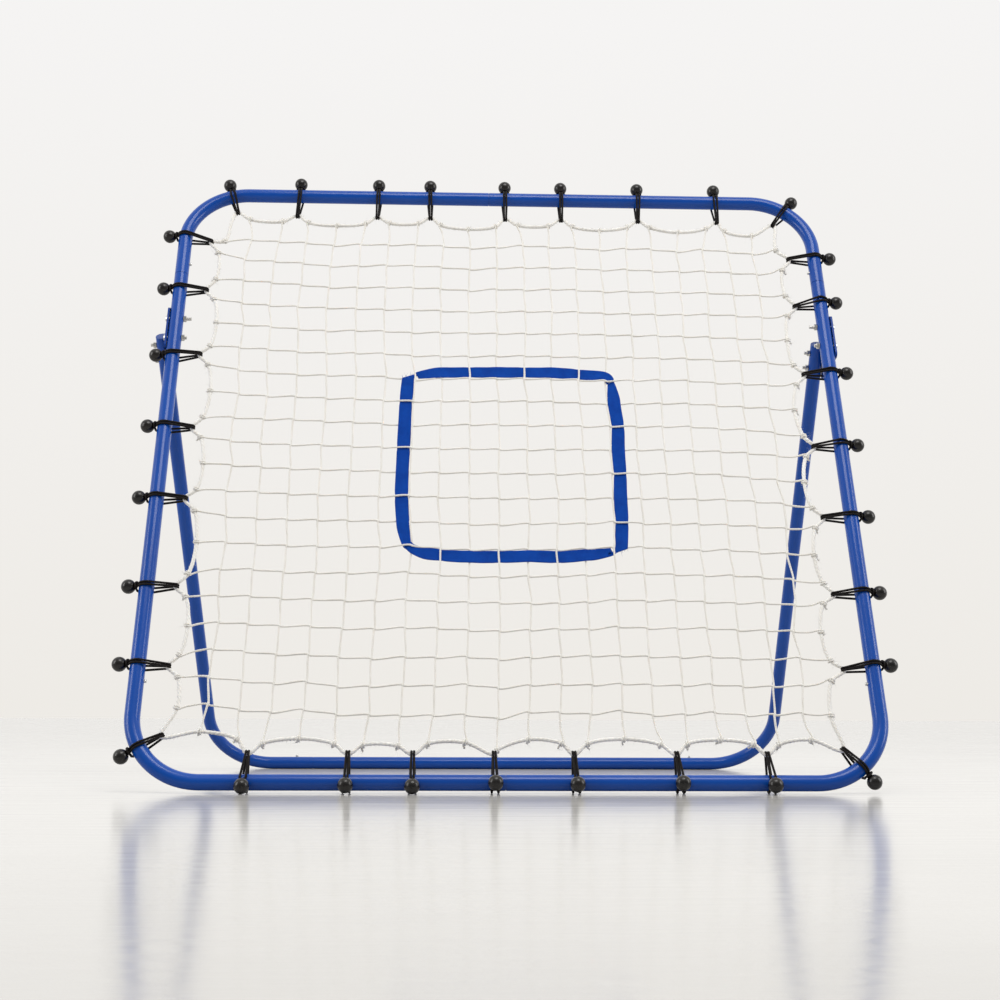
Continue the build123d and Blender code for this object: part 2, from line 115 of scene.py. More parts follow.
def frame_points(places):
    """World points for rows of X, height up the frame and distance in front of it."""
    places = np.asarray(places, float)
    along = places[:, :1] * FRAME_X + places[:, 1:2] * FRAME_UP
    return FRAME_ORIGIN + along + places[:, 2:3] * FRAME_FORWARD


def unit(vectors):
    """Vectors scaled to length 1."""
    return vectors / np.linalg.norm(vectors, axis=-1, keepdims=True)


# ---- Curves through points ----
def smooth(points, closed=False, steps=10):
    """Close points on a smooth curve that runs through the given ones."""
    points = np.asarray(points, float)
    if closed:
        ends = np.vstack([points[-1:], points, points[:2]])
    else:
        ends = np.vstack([2 * points[:1] - points[1:2], points, 2 * points[-1:] - points[-2:-1]])
    pieces = []
    for a, b, c, d in zip(ends, ends[1:], ends[2:], ends[3:]):
        ta = 0.0
        tb = ta + np.linalg.norm(b - a) ** 0.5
        tc = tb + np.linalg.norm(c - b) ** 0.5
        td = tc + np.linalg.norm(d - c) ** 0.5
        t = np.linspace(tb, tc, steps, endpoint=False)[:, None]
        ab = (tb - t) / (tb - ta) * a + (t - ta) / (tb - ta) * b
        bc = (tc - t) / (tc - tb) * b + (t - tb) / (tc - tb) * c
        cd = (td - t) / (td - tc) * c + (t - tc) / (td - tc) * d
        abc = (tc - t) / (tc - ta) * ab + (t - ta) / (tc - ta) * bc
        bcd = (td - t) / (td - tb) * bc + (t - tb) / (td - tb) * cd
        pieces.append((tc - t) / (tc - tb) * abc + (t - tb) / (tc - tb) * bcd)
    if not closed:
        pieces.append(points[-1:])
    return np.vstack(pieces)


def evenly(points, spacing, closed=False):
    """The same run with its points an even distance apart."""
    if closed:
        points = np.vstack([points, points[:1]])
    along = np.concatenate([[0], np.cumsum(np.linalg.norm(np.diff(points, axis=0), axis=1))])
    count = max(3, round(along[-1] / spacing) + 1)
    stops = np.linspace(0, along[-1], count)
    result = np.column_stack([np.interp(stops, along, points[:, axis]) for axis in range(3)])
    return result[:-1] if closed else result


def directions(points, closed=False):
    """Unit direction of travel at each point of a run."""
    if closed:
        return unit(np.roll(points, -1, axis=0) - np.roll(points, 1, axis=0))
    return unit(np.gradient(points, axis=0))


NEARLY_PARALLEL = 0.1


def sideways(travel, first=FRAME_FORWARD):
    """A direction across the run at each point, carried along it without twisting."""
    sides = np.empty_like(travel)
    side = first - travel[0] * (first @ travel[0])
    if np.linalg.norm(side) < NEARLY_PARALLEL:
        side = FRAME_X - travel[0] * (FRAME_X @ travel[0])
    for index, heading in enumerate(travel):
        side = side - heading * (side @ heading)
        side = side / np.linalg.norm(side)
        sides[index] = side
    return sides


# ---- Mesh building ----
def put_in_scene(thing):
    """Link an object to the scene."""
    bpy.context.scene.collection.objects.link(thing)


class Skin:
    """Collects swept shapes and turns them into one mesh with a place-along-the-cord map."""

    def __init__(self):
        self.corners = []
        self.faces = []
        self.caps = []
        self.maps = []
        self.cap_maps = []
        self.count = 0

    def add(self, points, across, forward, section, closed=False):
        """Sweep a section: rows of sideways, forward and lengthwise offsets for each point."""
        rings, sides = section.shape[:2]
        corners = (
            points[:, None]
            + section[:, :, :1] * across[:, None]
            + section[:, :, 1:2] * forward[:, None]
            + section[:, :, 2:] * np.cross(across, forward)[:, None]
        )
        steps = np.linalg.norm(np.diff(points, axis=0), axis=1)
        along = np.concatenate([[0], np.cumsum(steps)])
        ring = np.arange(rings if closed else rings - 1)
        side = np.arange(sides)
        a, b = np.meshgrid(ring, side, indexing="ij")
        following = (a + 1) % rings
        turned = (b + 1) % sides
        quads = np.stack(
            [a * sides + b, a * sides + turned, following * sides + turned, following * sides + b],
            axis=-1,
        )
        self.faces.append(quads.reshape(-1, 4) + self.count)
        here = along[a]
        there = here + steps.mean()
        left = b / sides
        past = (b + 1) / sides
        spots = ((left, here), (past, here), (past, there), (left, there))
        chart = np.stack([np.stack(spot, -1) for spot in spots], axis=2)
        self.maps.append(chart.reshape(-1, 2))
        if not closed:
            first = np.arange(sides)[::-1] + self.count
            last = np.arange(sides) + (rings - 1) * sides + self.count
            self.caps += [first.tolist(), last.tolist()]
            self.cap_maps.append(np.zeros((2 * sides, 2)))
        self.corners.append(corners.reshape(-1, 3))
        self.count += rings * sides

    def tube(self, points, radii, closed=False, first=FRAME_FORWARD):
        """Sweep round rings: radii holds one radius for each point and each side."""
        travel = directions(points, closed)
        across = sideways(travel, first)
        forward = np.cross(travel, across)
        turn = np.linspace(0, 2 * pi, radii.shape[1], endpoint=False)
        offsets = [radii * np.cos(turn), radii * np.sin(turn), np.zeros_like(radii)]
        self.add(points, across, forward, np.stack(offsets, axis=-1), closed)

    def build(self, name, material):
        """The collected shapes as one object."""
        mesh = bpy.data.meshes.new(name)
        corners = np.vstack(self.corners)
        faces = np.vstack(self.faces).tolist() + self.caps
        mesh.from_pydata(corners, [], faces)
        chart = mesh.uv_layers.new(name="Along")
        chart.data.foreach_set("uv", np.vstack(self.maps + self.cap_maps).astype(np.float32).ravel())
        mesh.polygons.foreach_set("use_smooth", np.ones(len(mesh.polygons), bool))
        mesh.materials.append(material)
        mesh.update()
        piece = bpy.data.objects.new(name, mesh)
        put_in_scene(piece)
        return piece


# Thickness of a hair at even steps from its root to its tip, as a share of its root's
HAIR_TAPER = np.array([1, 0.9, 0.75, 0.5, 0.2])
HAIR_SIDES = 3


def fibres(skin, roots, headings, lengths, radius, curl):
    """Short fine hairs: each leaves its root along its heading and curls at random."""
    stops = np.linspace(0, 1, len(HAIR_TAPER))[:, None]
    radii = radius * HAIR_TAPER[:, None] * np.ones((1, HAIR_SIDES))
    for root, heading, length in zip(roots, headings, lengths):
        bend = chance.normal(0, curl, 3)
        points = root + length * (stops * heading + stops**2 * bend)
        skin.tube(points, radii)


# ---- Materials ----
def new_material(name):
    """A material with its shader and the place texture coordinate."""
    material = bpy.data.materials.new(name)
    material.use_nodes = True
    nodes = material.node_tree.nodes
    place = nodes.new("ShaderNodeTexCoord").outputs["Object"]
    return material, nodes["Principled BSDF"], place


def link(output, socket):
    """Join an output to a socket of the same node tree."""
    output.id_data.links.new(output, socket)


def fixed(node, values):
    """Set a node's sockets that are the same all over the surface."""
    for name, value in values.items():
        node.inputs[name].default_value = value


def noise(place, scale, detail=3.0, rough=0.5):
    """A noise texture's value."""
    node = place.id_data.nodes.new("ShaderNodeTexNoise")
    fixed(node, {"Scale": scale, "Detail": detail, "Roughness": rough})
    link(place, node.inputs["Vector"])
    return node.outputs["Fac"]


def stretched(place, scale):
    """The place coordinate scaled differently along each axis."""
    node = place.id_data.nodes.new("ShaderNodeMapping")
    node.inputs["Scale"].default_value = scale
    link(place, node.inputs["Vector"])
    return node.outputs["Vector"]


def ramp(value, low, high, low_at=0.35, high_at=0.65):
    """A colour that runs from low to high as the value does."""
    node = value.id_data.nodes.new("ShaderNodeValToRGB")
    stops = node.color_ramp.elements
    for stop, colour, position in zip(stops, (low, high), (low_at, high_at)):
        stop.position = position
        stop.color = (*colour, 1)
    link(value, node.inputs["Fac"])
    return node.outputs["Color"]


def rescaled(value, low, high):
    """A value from 0 to 1 moved into the range low to high."""
    node = value.id_data.nodes.new("ShaderNodeMapRange")
    fixed(node, {"To Min": low, "To Max": high})
    link(value, node.inputs["Value"])
    return node.outputs["Result"]


def sums(operation, first, second):
    """One arithmetic step on a socket and another socket or a number."""
    node = first.id_data.nodes.new("ShaderNodeMath")
    node.operation = operation
    link(first, node.inputs[0])
    if isinstance(second, (int, float)):
        node.inputs[1].default_value = second
    else:
        link(second, node.inputs[1])
    return node.outputs["Value"]


def bumped(shader, height, strength, distance):
    """Relief on the shader from a height value, on top of any that it has."""
    node = height.id_data.nodes.new("ShaderNodeBump")
    fixed(node, {"Strength": strength, "Distance": distance})
    link(height, node.inputs["Height"])
    if shader.inputs["Normal"].is_linked:
        link(shader.inputs["Normal"].links[0].from_socket, node.inputs["Normal"])
    link(node.outputs["Normal"], shader.inputs["Normal"])


def cord_chart(place):
    """Place round the cord, 0 to 1, and metres along it."""
    nodes = place.id_data.nodes
    node = nodes.new("ShaderNodeUVMap")
    node.uv_map = "Along"
    split = nodes.new("ShaderNodeSeparateXYZ")
    link(node.outputs["UV"], split.inputs["Vector"])
    return split.outputs["X"], split.outputs["Y"]


def ridges(around, along, turns, per_metre):
    """A sine wave that winds round the cord."""
    first = sums("MULTIPLY", around, 2 * pi * turns)
    second = sums("MULTIPLY", along, 2 * pi * per_metre)
    return sums("SINE", sums("ADD", first, second), 0.0)


def painted(name, low, high, roughness, peel):
    """Glossy powder coat: faint colour drift, fine orange peel and smudged gloss."""
    material, shader, place = new_material(name)
    link(ramp(noise(place, scale=5), low, high), shader.inputs["Base Color"])
    smudge = noise(place, scale=28, detail=5, rough=0.6)
    link(rescaled(smudge, *roughness), shader.inputs["Roughness"])
    fixed(shader, {"IOR": 1.5, "Specular IOR Level": 0.3})
    fixed(shader, {"Coat Weight": 0.12, "Coat Roughness": 0.08})
    bumped(shader, noise(place, scale=700, detail=2), strength=peel, distance=0.00006)
    return material


def plated(name, low, high, roughness):
    """Bright plated steel with faint staining and tool marks."""
    material, shader, place = new_material(name)
    shader.inputs["Metallic"].default_value = 1.0
    tint = noise(place, scale=220, detail=4)
    link(ramp(tint, low, high), shader.inputs["Base Color"])
    stain = noise(place, scale=380, detail=4, rough=0.6)
    link(rescaled(stain, *roughness), shader.inputs["Roughness"])
    bumped(shader, noise(place, scale=1500, detail=3), strength=0.25, distance=0.0003)
    return material


def moulded(name, low, high, roughness, grain):
    """Moulded plastic: slight flow marks and scuffed gloss."""
    material, shader, place = new_material(name)
    link(ramp(noise(place, scale=60), low, high), shader.inputs["Base Color"])
    scuff = noise(place, scale=160, detail=6, rough=0.65)
    link(rescaled(scuff, *roughness), shader.inputs["Roughness"])
    shader.inputs["IOR"].default_value = 1.49
    bumped(shader, noise(place, scale=420), strength=grain, distance=0.0004)
    return material


def braided(name, low, high, strands, per_metre):
    """A braided sleeve: two sets of ridges that wind opposite ways."""
    material, shader, place = new_material(name)
    around, along = cord_chart(place)
    one_way = ridges(around, along, strands, per_metre)
    other_way = ridges(around, along, strands, -per_metre)
    weave = sums("MULTIPLY", one_way, other_way)
    shade = sums("MULTIPLY", rescaled(weave, low=0.1, high=0.9), 0.5)
    mixed = sums("ADD", shade, noise(place, scale=900, detail=4))
    tint = ramp(mixed, low, high, low_at=0.45, high_at=1.1)
    link(tint, shader.inputs["Base Color"])
    fixed(shader, {"Roughness": 0.55, "Specular IOR Level": 0.18})
    sheen_tint = (0.5, 0.42, 0.36, 1)
    fixed(shader, {"Sheen Weight": 0.04, "Sheen Roughness": 0.4, "Sheen Tint": sheen_tint})
    bumped(shader, weave, strength=0.7, distance=0.0004)
    bumped(shader, noise(place, scale=2600, detail=2), strength=0.3, distance=0.0002)
    return material


def twisted(name, low, high, yarns, per_metre):
    """Twisted white yarn: winding ridges, fine fibres and a little grime."""
    material, shader, place = new_material(name)
    around, along = cord_chart(place)
    twist = ridges(around, along, yarns, per_metre)
    grime = noise(place, scale=14, detail=5, rough=0.7)
    fine = noise(place, scale=1300)
    mixed = sums("ADD", sums("MULTIPLY", grime, 0.7), sums("MULTIPLY", fine, 0.3))
    tint = ramp(mixed, low, high, low_at=0.38, high_at=0.62)
    link(tint, shader.inputs["Base Color"])
    fixed(shader, {"Roughness": 0.85, "Sheen Weight": 0.3, "Sheen Roughness": 0.5})
    fixed(shader, {"Subsurface Weight": 0.25, "Subsurface Scale": 1.0})
    fixed(shader, {"Subsurface Radius": (0.0012, 0.0011, 0.001)})
    bumped(shader, twist, strength=0.55, distance=0.0004)
    bumped(shader, fine, strength=0.4, distance=0.0002)
    return material


def woven(name, low, high, around_count, per_metre):
    """Woven webbing: ribs across the band and warp threads along it."""
    material, shader, place = new_material(name)
    around, along = cord_chart(place)
    warp = ridges(around, along, turns=around_count, per_metre=0.0)
    weft = ridges(around, along, turns=0.0, per_metre=per_metre)
    weave = sums("MULTIPLY", warp, weft)
    rib = sums("ADD", sums("MULTIPLY", weave, 0.6), sums("MULTIPLY", weft, 0.4))
    drift = noise(place, scale=45, detail=5, rough=0.65)
    mixed = sums("ADD", sums("MULTIPLY", rib, 0.12), drift)
    tint = ramp(mixed, low, high, low_at=0.3, high_at=0.75)
    link(tint, shader.inputs["Base Color"])
    fixed(shader, {"Roughness": 0.8, "Specular IOR Level": 0.15})
    bumped(shader, rib, strength=0.75, distance=0.0005)
    return material


tube_paint = painted(
    "blue_powder_coat", low=(0.0, 0.055, 0.33), high=(0.0, 0.066, 0.38),
    roughness=(0.18, 0.28), peel=0.04,
)
# The bracket plates take the tube's blue made darker: painted shade for the shadow they sit in beside
# the tubes. Their rougher, more pebbled coat is their own.
shaded_bracket_paint = painted(
    "bracket_coat_painted_shade", low=(0.0, 0.04, 0.26), high=(0.0, 0.052, 0.32),
    roughness=(0.2, 0.36), peel=0.2,
)
zinc_plate = plated(
    "zinc_plate", low=(0.50, 0.49, 0.46), high=(0.72, 0.71, 0.68), roughness=(0.22, 0.5),
)
button_plate = plated(
    "button_plate", low=(0.55, 0.55, 0.54), high=(0.78, 0.78, 0.77), roughness=(0.12, 0.3),
)
ball_plastic = moulded(
    "ball_plastic", low=(0.003, 0.0025, 0.002), high=(0.008, 0.006, 0.005),
    roughness=(0.18, 0.36), grain=0.12,
)
cap_plastic = moulded(
    "cap_plastic", low=(0.003, 0.05, 0.27), high=(0.005, 0.066, 0.34),
    roughness=(0.3, 0.45), grain=0.2,
)
cord_braid = braided(
    "elastic_braid", low=(0.001, 0.0008, 0.0007), high=(0.014, 0.009, 0.008),
    strands=BRAID_STRANDS, per_metre=BRAID_PER_METRE,
)
net_yarn = twisted(
    "net_yarn", low=(0.75, 0.73, 0.68), high=(0.86, 0.84, 0.80), yarns=2, per_metre=260,
)
rope_yarn = twisted(
    "rope_yarn", low=(0.78, 0.76, 0.72), high=(0.90, 0.89, 0.86), yarns=3, per_metre=130,
)
webbing = woven(
    "target_webbing", low=(0.0, 0.045, 0.33), high=(0.0, 0.068, 0.44),
    around_count=26, per_metre=900,
)

FRONT_TUBES = (
    "top_left_corner_tube", "top_right_corner_tube", "bottom_left_corner_tube",
    "bottom_right_corner_tube", "left_side_tube", "right_side_tube",
)
REAR_TUBES = ("rear_left_leg_tube", "rear_right_leg_tube", "rear_ground_tube")
BUTTONS = (
    "top_left_button", "top_right_button", "bottom_left_button",
    "bottom_right_button", "rear_left_button", "rear_right_button",
)
SIDES = ("top", "bottom", "left", "right", "corner")


def dress(names, material):
    """Give CAD nodes their finished material."""
    for name in names:
        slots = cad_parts[name].data.materials
        slots.clear()
        slots.append(material)


dress(FRONT_TUBES + REAR_TUBES, tube_paint)
dress(("left_bracket_plate", "right_bracket_plate"), shaded_bracket_paint)
dress(("frame_bolts", "frame_nuts", "pivot_bolts", "lock_bolts", "leg_nuts"), zinc_plate)
dress(BUTTONS, button_plate)
dress(("left_leg_cap", "right_leg_cap"), cap_plastic)
dress([f"{side}_bungee_balls" for side in SIDES], ball_plastic)


# ---- Where the rope hangs from its hooks ----
def bend_hook(side_x, height, angle):
    """Hook place inside a corner bend, at an angle round the bend's centre."""
    reach = BEND_RADIUS - CORNER_HOOK_DISTANCE
    return (side_x + reach * cos(radians(angle)), height + reach * sin(radians(angle)))


BEND_X = HALF_WIDTH - BEND_RADIUS
BEND_TOP = FRAME_HEIGHT - BEND_RADIUS
BENDS = (
    (-BEND_X, BEND_TOP, TOP_LEFT_ANGLE), (BEND_X, BEND_TOP, TOP_RIGHT_ANGLE),
    (-BEND_X, BEND_RADIUS, BOTTOM_LEFT_ANGLE), (BEND_X, BEND_RADIUS, BOTTOM_RIGHT_ANGLE),
)
top_left_hook, *other_hooks = (bend_hook(*bend) for bend in BENDS)
corner_hooks = dict(zip(((CELLS, 0), (0, CELLS), (CELLS, CELLS)), other_hooks))
INNER_X = HALF_WIDTH - SIDE_HOOK_DISTANCE
top_hooks = [
    (x + shift, FRAME_HEIGHT - SIDE_HOOK_DISTANCE) for x, shift in zip(TOP_PLACES, TOP_SHIFTS)
]
bottom_hooks = [(x + shift, SIDE_HOOK_DISTANCE) for x, shift in zip(BOTTOM_PLACES, BOTTOM_SHIFTS)]
left_hooks = [(-INNER_X, height + shift) for height, shift in zip(LEFT_PLACES, LEFT_SHIFTS)]
right_hooks = [(INNER_X, height + shift) for height, shift in zip(RIGHT_PLACES, RIGHT_SHIFTS)]


# ---- Net at rest: cords pulled tight between the hooks ----
def grid_node(column, row):
    """Number of the net node on a column line and a row line."""
    return row * (CELLS + 1) + column


def rope_side(hooks, cells, corner_place):
    """One side of the rope: cell positions with either a net node or a hook's place."""
    stops = [(float(cell), corner_place(cell), None) for cell in range(CELLS)]
    stops += [(cell, None, hook) for cell, hook in zip(cells, hooks)]
    return sorted(stops, key=lambda stop: stop[0])


def rope_ring(places, held):
    """The rope's stops in order round the net; adds each hook's place and holds it still."""
    top_cells = (TOP_LEFT_HOOK_CELL,) + TOP_HOOK_CELLS
    bottom_cells = [CELLS - cell for cell in BOTTOM_HOOK_CELLS]
    left_cells = [CELLS - cell for cell in SIDE_HOOK_CELLS]
    sides = (
        rope_side([top_left_hook] + top_hooks, top_cells, lambda cell: (cell, 0)),
        rope_side(right_hooks, SIDE_HOOK_CELLS, lambda cell: (CELLS, cell)),
        rope_side(bottom_hooks, bottom_cells, lambda cell: (CELLS - cell, CELLS)),
        rope_side(left_hooks, left_cells, lambda cell: (0, CELLS - cell)),
    )
    ring = []
    for side_number, side in enumerate(sides):
        for cell, node, hook in side:
            if hook is None:
                ring.append((side_number * CELLS + cell, grid_node(*node)))
            else:
                ring.append((side_number * CELLS + cell, len(places)))
                held.append(len(places))
                places.append(hook)
    return ring


def rope_links(ring, places, held):
    """Rope lengths between neighbouring stops, with slack enough to reach from hook to hook."""
    around = 4 * CELLS
    stops = [(spot, np.array(places[node])) for spot, node in ring if node in held]
    spans = []
    for (here, first), (there, second) in zip(stops, stops[1:] + stops[:1]):
        cells = (there - here) % around
        tight = np.linalg.norm(second - first) * ROPE_SLACK / cells
        spans.append((here, cells, max(ROPE_PER_CELL, tight)))
    links = []
    for (here, first), (there, second) in zip(ring, ring[1:] + ring[:1]):
        per_cell = next(each for stop, cells, each in spans if (here - stop) % around < cells)
        links.append((first, second, (there - here) % around * per_cell, ROPE_STIFFNESS))
    return links


def net_links():
    """Net cord lengths between neighbouring nodes, stiff and even round the target."""
    links = []
    for line in range(1, CELLS):
        for step in range(CELLS):
            level = (grid_node(step, line), grid_node(step + 1, line))
            upright = (grid_node(line, step), grid_node(line, step + 1))
            uneven = CORD_PER_CELL * (1 + UNEVENNESS * chance.standard_normal(2))
            drift = CORD_DRIFT if step < CELLS / 2 else -CORD_DRIFT
            if line in (TARGET_FIRST, TARGET_LAST) and TARGET_FIRST <= step < TARGET_LAST:
                links.append((*level, TARGET_CELL, TARGET_STIFFNESS))
                links.append((*upright, TARGET_CELL, TARGET_STIFFNESS))
            else:
                links.append((*level, uneven[0] * (1 + drift), 1.0))
                links.append((*upright, uneven[1], 1.0))
    return links


def relaxed(places, links, held):
    """Node places once every link has pulled: only the target's links push as well."""
    firsts, seconds, lengths, stiffness = (np.array(column) for column in zip(*links))
    pushes = stiffness == TARGET_STIFFNESS
    places = np.array(places, float)
    speed = np.zeros_like(places)
    for _ in range(RELAX_STEPS):
        run = places[seconds] - places[firsts]
        size = np.linalg.norm(run, axis=1)
        stretch = np.where(pushes, size - lengths, np.maximum(size - lengths, 0))
        pull = (stiffness * stretch / size)[:, None] * run
        force = np.zeros_like(places)
        np.add.at(force, firsts, pull)
        np.add.at(force, seconds, -pull)
        speed = RELAX_DAMPING * (speed + RELAX_STEP * force)
        speed[held] = 0
        places = places + RELAX_STEP * speed
    return places


def settle_net():
    """The settled node places, the rope's nodes in order and the nodes that hooks hold."""
    columns = np.linspace(-INNER_X, INNER_X, CELLS + 1)
    rows = np.linspace(FRAME_HEIGHT - SIDE_HOOK_DISTANCE, SIDE_HOOK_DISTANCE, CELLS + 1)
    places = [(x, height) for height in rows for x in columns]
    held = []
    for (column, row), hook in corner_hooks.items():
        places[grid_node(column, row)] = hook
        held.append(grid_node(column, row))
    ring = rope_ring(places, held)
    links = rope_links(ring, places, held) + net_links()
    return relaxed(places, links, held), [node for _, node in ring], set(held)


net_places, rope_nodes, held_nodes = settle_net()


def sagged(x, height):
    """How far behind the frame's plane the net lies under its own weight."""
    across = np.clip(1 - (x / HALF_WIDTH) ** 2, 0, 1)
    up = np.clip(1 - ((height - FRAME_HEIGHT / 2) / (FRAME_HEIGHT / 2)) ** 2, 0, 1)
    return -NET_SAG * across * up


def hung(flat):
    """World points for rows of X and height on the sagging net."""
    return frame_points(np.column_stack([flat, sagged(flat[:, 0], flat[:, 1])]))


def window(distance, flat, fade):
    """1 within flat of zero, falling smoothly to 0 at flat plus fade."""
    share = np.clip((np.abs(distance) - flat) / fade, 0, 1)
    return 1 - share * share * (3 - 2 * share)


def place_of(column, row):
    """Relaxed X and height of a net node."""
    return net_places[grid_node(column, row)]


# ---- Net cords ----
JOG_LEVEL = 0.0013
JOG_UPRIGHT = 0.0006
JOG_REACH = 0.0035
NET_SIDES = 8
NET_SPACING = 0.0021
NET_PITCH = 0.0105
KNOT_SWELL = 0.28
KNOT_LENGTH = 0.003
NET_LOBES = 0.10
WEAVE_WINDOW = (0.017, 0.016)

# Slow changes of thickness: share of it, radians for each metre and radians from line to line
SLUB_WAVES = ((0.06, 37, 1), (0.05, 91, 2))


def weave_offset(line, upright, x, height):
    """How far a net cord is pushed forward or back where it crosses a target band."""
    if not TARGET_FIRST <= line <= TARGET_LAST:
        return np.zeros_like(x)
    odd = line % 2 == 1
    if upright:
        first_band = place_of(line, TARGET_FIRST)[1] + BAND_OFFSET
        last_band = place_of(line, TARGET_LAST)[1] - BAND_OFFSET
        along = height
        first_over = odd
    else:
        first_band = place_of(TARGET_FIRST, line)[0] - BAND_OFFSET
        last_band = place_of(TARGET_LAST, line)[0] + BAND_OFFSET
        along = x
        first_over = not odd
    first_push, last_push = (CORD_OVER, CORD_UNDER) if first_over else (CORD_UNDER, CORD_OVER)
    first = first_push * window(along - first_band, *WEAVE_WINDOW)
    last = last_push * window(along - last_band, *WEAVE_WINDOW)
    return first + last


def line_points(line, upright):
    """Rows of X and height along one net cord, with a small jog at each crossing."""
    nodes = [place_of(line, step) if upright else place_of(step, line) for step in range(CELLS + 1)]
    nodes = np.array(nodes)
    points = [nodes[0]]
    jog = JOG_UPRIGHT if upright else JOG_LEVEL
    for before, here, after in zip(nodes, nodes[1:], nodes[2:]):
        travel = unit(after - before)
        lift = np.array([-travel[1], travel[0]]) * jog
        points += [here - travel * JOG_REACH + lift, here, here + travel * JOG_REACH - lift]
    points.append(nodes[-1])
    return np.array(points), nodes


def rope_heading(node):
    """Direction of the rope at one of its nodes."""
    spot = rope_nodes.index(node)
    before = net_places[rope_nodes[spot - 1]]
    after = net_places[rope_nodes[(spot + 1) % len(rope_nodes)]]
    return unit(after - before)


WRAP_START = 0.12
WRAP_TURNS = 1.6
WRAP_POINTS = 14
WRAP_SINK = 0.8
TAIL_LENGTH = 0.006


def rope_hitch(node, inward):
    """Points of a cord's turns round the rope, ending in a short tail."""
    centre = hung(net_places[[node]])[0]
    heading = rope_heading(node)
    travel = heading[0] * FRAME_X + heading[1] * FRAME_UP
    toward = inward[0] * FRAME_X + inward[1] * FRAME_UP
    toward = toward - travel * (toward @ travel)
    toward = toward / np.linalg.norm(toward)
    radius = ROPE_RADIUS + NET_CORD_RADIUS * WRAP_SINK
    turns = np.linspace(WRAP_START, WRAP_TURNS, WRAP_POINTS)
    points = [
        centre
        + radius * (cos(2 * pi * turn) * toward + sin(2 * pi * turn) * FRAME_FORWARD)
        + travel * (2 * NET_CORD_RADIUS * (turn - WRAP_TURNS / 2))
        for turn in turns
    ]
    spin = 2 * pi * WRAP_TURNS
    outward = cos(spin) * toward + sin(spin) * FRAME_FORWARD
    tail = outward * TAIL_LENGTH * chance.uniform(0.3, 1.0)
    tail = tail + travel * TAIL_LENGTH * chance.normal(0, 0.5)
    points.append(points[-1] + tail)
    return np.array(points)


tuft_roots = []


def net_cord(skin, line, upright):
    """One cord of the net, from its hitch on the rope to the hitch on the far side."""
    flat, nodes = line_points(line, upright)
    dense = smooth(np.column_stack([flat, np.zeros(len(flat))]))
    x, height = dense[:, 0], dense[:, 1]
    forward = sagged(x, height) + weave_offset(line, upright, x, height)
    middle = frame_points(np.column_stack([x, height, forward]))
    first = grid_node(line, 0) if upright else grid_node(0, line)
    last = grid_node(line, CELLS) if upright else grid_node(CELLS, line)
    start = rope_hitch(first, nodes[1] - nodes[0])[::-1]
    end = rope_hitch(last, nodes[-2] - nodes[-1])
    tuft_roots.extend([start[0], end[-1]])
    run = smooth(np.vstack([start, middle[3:-3:3], end]), steps=4)
    points = evenly(run, NET_SPACING)
    along = np.arange(len(points)) * NET_SPACING
    gaps = np.min(np.linalg.norm(points[:, None] - hung(nodes)[None, 1:-1], axis=2), axis=1)
    swell = 1 + KNOT_SWELL * np.exp(-((gaps / KNOT_LENGTH) ** 2))
    turn = np.linspace(0, 2 * pi, NET_SIDES, endpoint=False)
    lobes = 1 + NET_LOBES * np.cos(2 * (turn[None, :] - 2 * pi * along[:, None] / NET_PITCH))
    slub = 1
    for depth, pace, offset in SLUB_WAVES:
        slub = slub + depth * np.sin(along * pace + offset * line)
    skin.tube(points, NET_CORD_RADIUS * lobes * (swell * slub)[:, None])


def net_piece(name, upright):
    """All the net cords that run one way, as one piece."""
    skin = Skin()
    for line in range(1, CELLS):
        net_cord(skin, line, upright)
    piece = skin.build(name, net_yarn)
    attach(piece, "front_frame")
    return piece


upright_cords = net_piece("net_upright_cords", True)
net_piece("net_level_cords", False)
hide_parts("net_panel")

# ---- Edge rope ----
ROPE_SIDES = 12
ROPE_SPACING = 0.002
ROPE_PITCH = 0.018
ROPE_STRANDS = 3
ROPE_LOBES = 0.09
ROPE_SLUB_WAVES = ((0.05, 23), (0.04, 61))
ROPE_ROUGHNESS = 0.02
HOOK_PINCH = 0.14
HOOK_WINDOW = (0.004, 0.009)
FUZZ_COUNT = 3600
FUZZ_LENGTHS = (0.002, 0.0065)
FUZZ_RADIUS = 0.00013
FUZZ_LEAN = 0.6
FUZZ_ROOT = 0.8
TUFT_HAIRS = 9
TUFT_LENGTHS = (0.003, 0.008)
TUFT_RADIUS = 0.00017
TUFT_RISE = 0.3

rope_world = hung(net_places[rope_nodes])
rope_run = evenly(smooth(rope_world, closed=True), ROPE_SPACING, closed=True)
rope_along = np.arange(len(rope_run)) * ROPE_SPACING
rope_turn = np.linspace(0, 2 * pi, ROPE_SIDES, endpoint=False)
rope_winding = rope_turn[None, :] - 2 * pi * rope_along[:, None] / ROPE_PITCH
rope_lobes = 1 + ROPE_LOBES * np.cos(ROPE_STRANDS * rope_winding)
rope_slub = 1
for depth, pace in ROPE_SLUB_WAVES:
    rope_slub = rope_slub + depth * np.sin(rope_along * pace)
rope_slub = rope_slub + chance.normal(0, ROPE_ROUGHNESS, len(rope_along))
hook_places = rope_world[[node in held_nodes for node in rope_nodes]]
hook_gaps = np.min(np.linalg.norm(rope_run[:, None] - hook_places[None], axis=2), axis=1)
rope_slub = rope_slub * (1 - HOOK_PINCH * window(hook_gaps, *HOOK_WINDOW))
rope_skin = Skin()
rope_skin.tube(rope_run, ROPE_RADIUS * rope_lobes * rope_slub[:, None], closed=True)
edge_rope = rope_skin.build("woven_edge_rope", rope_yarn)
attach(edge_rope, "front_frame")
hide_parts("edge_rope")


